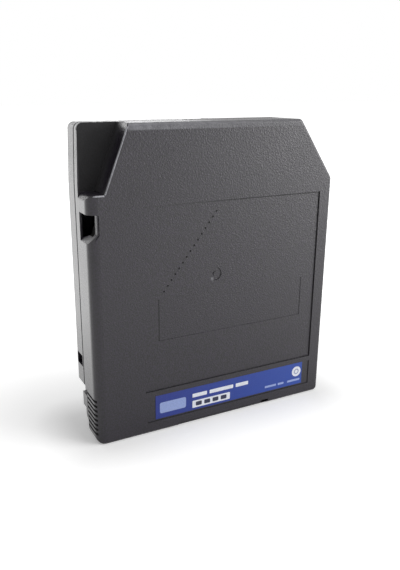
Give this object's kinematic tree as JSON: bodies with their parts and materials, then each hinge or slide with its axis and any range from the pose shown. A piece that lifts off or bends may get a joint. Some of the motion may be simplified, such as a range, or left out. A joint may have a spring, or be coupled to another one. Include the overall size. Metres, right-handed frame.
{
  "type": "data tape cartridge",
  "caption": "Flat black moulded tape cartridge with one reel inside, a slanted corner, an insertion notch, ribbed grips and a blue label strip.",
  "frame": {"origin": "middle of the label end of the case, which it stands on", "axes": "+Z towards the end that enters the drive, +X across the case towards the slanted corner, -Y towards the front face with the label, +Y towards the drive side with the clutch hole"},
  "size_m": [0.109, 0.0244, 0.125],
  "materials": {
    "case": "near-black moulded plastic with fine grain",
    "label": "smooth printed blue label",
    "reel": "pale grey moulded plastic",
    "steel": "bright steel",
    "tape": "dark brown coated tape, wound",
    "brake": "white moulded plastic",
    "spider": "grey moulded plastic",
    "door": "black moulded plastic",
    "slide": "red moulded plastic",
    "board": "green board",
    "chip": "black resin"
  },
  "bodies": {
    "case": {"front_shell": "case", "rear_shell": "case", "label": "label", "leader_pin": "steel", "tape_clip": "brake", "tape_leader": "tape", "pin_keeper_front": "steel", "pin_keeper_rear": "steel", "memory_board": "board", "memory_chip": "chip", "case_screws": "steel", "brake_spring": "steel", "door_spring": "steel"},
    "reel": {"reel_hub": "reel", "reel_flange": "reel", "drive_plate": "steel", "tape_pack": "tape"},
    "release": {"release_spider": "spider"},
    "brake": {"brake_button": "brake", "thrust_ball": "steel"},
    "door": {"door": "door"},
    "write_protect": {"write_protect_slide": "slide"}
  },
  "joints": [
    {"name": "reel_spin", "type": "hinge", "parent": "case", "child": "reel", "pos_m": [-0.0018, 0, 0.0649], "axis": [0, 1, 0], "continuous": true},
    {"name": "brake_lift", "type": "slide", "parent": "case", "child": "brake", "axis": [0, -1, 0], "range_m": [0, 0.0019], "stiffness_N_per_m": 900, "springref_m": -0.003, "deforming": ["brake_spring"]},
    {"name": "release_push", "type": "slide", "parent": "reel", "child": "release", "axis": [0, -1, 0], "range_m": [0, 0.0019]},
    {"name": "door_slide", "type": "hinge", "parent": "case", "child": "door", "pos_m": [0.022, 0, 0.09023], "axis": [0, 1, 0], "range_deg": [0, 33], "stiffness_Nm_per_rad": 0.003, "springref_deg": -34.38, "deforming": ["door_spring"]},
    {"name": "write_protect_slide", "type": "slide", "parent": "case", "child": "write_protect", "axis": [1, 0, 0], "range_m": [0, 0.0075]}
  ],
  "couplings": [
    {"joint": "release_push", "follows": "brake_lift", "ratio": 1}
  ]
}
